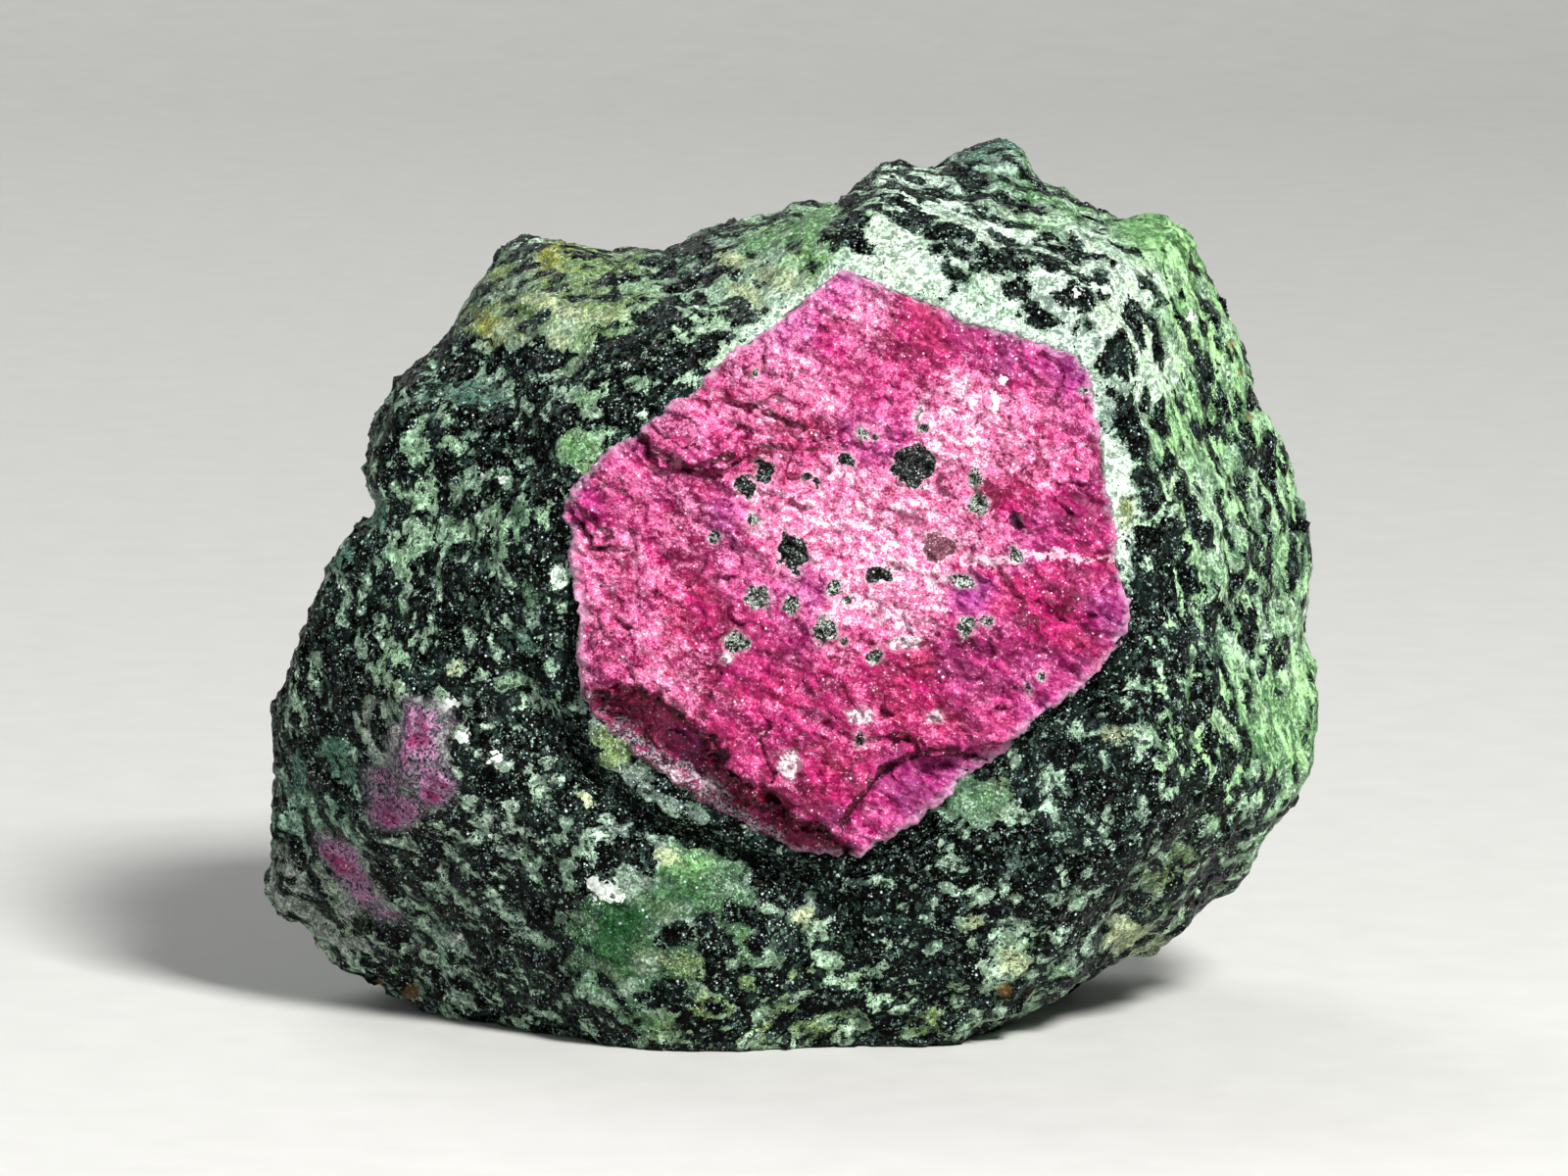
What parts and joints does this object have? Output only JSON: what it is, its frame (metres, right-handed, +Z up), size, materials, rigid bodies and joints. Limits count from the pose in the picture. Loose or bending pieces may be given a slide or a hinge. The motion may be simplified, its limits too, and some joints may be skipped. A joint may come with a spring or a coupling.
{
  "type": "ruby in zoisite specimen",
  "caption": "Rough lump of green and black zoisite rock with a large flat hexagonal ruby crystal in its front face and small rubies at its lower left, standing on a flat broken base.",
  "frame": {"origin": "middle of the bounding box's bottom face, on the surface that the specimen stands on", "axes": "+Z up, -Y out of the front that shows the large ruby, +X to the right as seen from the front"},
  "size_m": [0.0902, 0.0588, 0.0742],
  "materials": {
    "zoisite": "rough broken, green zoisite with black amphibole grains",
    "ruby": "rough broken, opaque pinkish red"
  },
  "bodies": {
    "root": {"zoisite_matrix": "zoisite", "ruby_crystal": "ruby", "upper_small_ruby": "ruby", "lower_small_ruby": "ruby"}
  },
  "joints": []
}
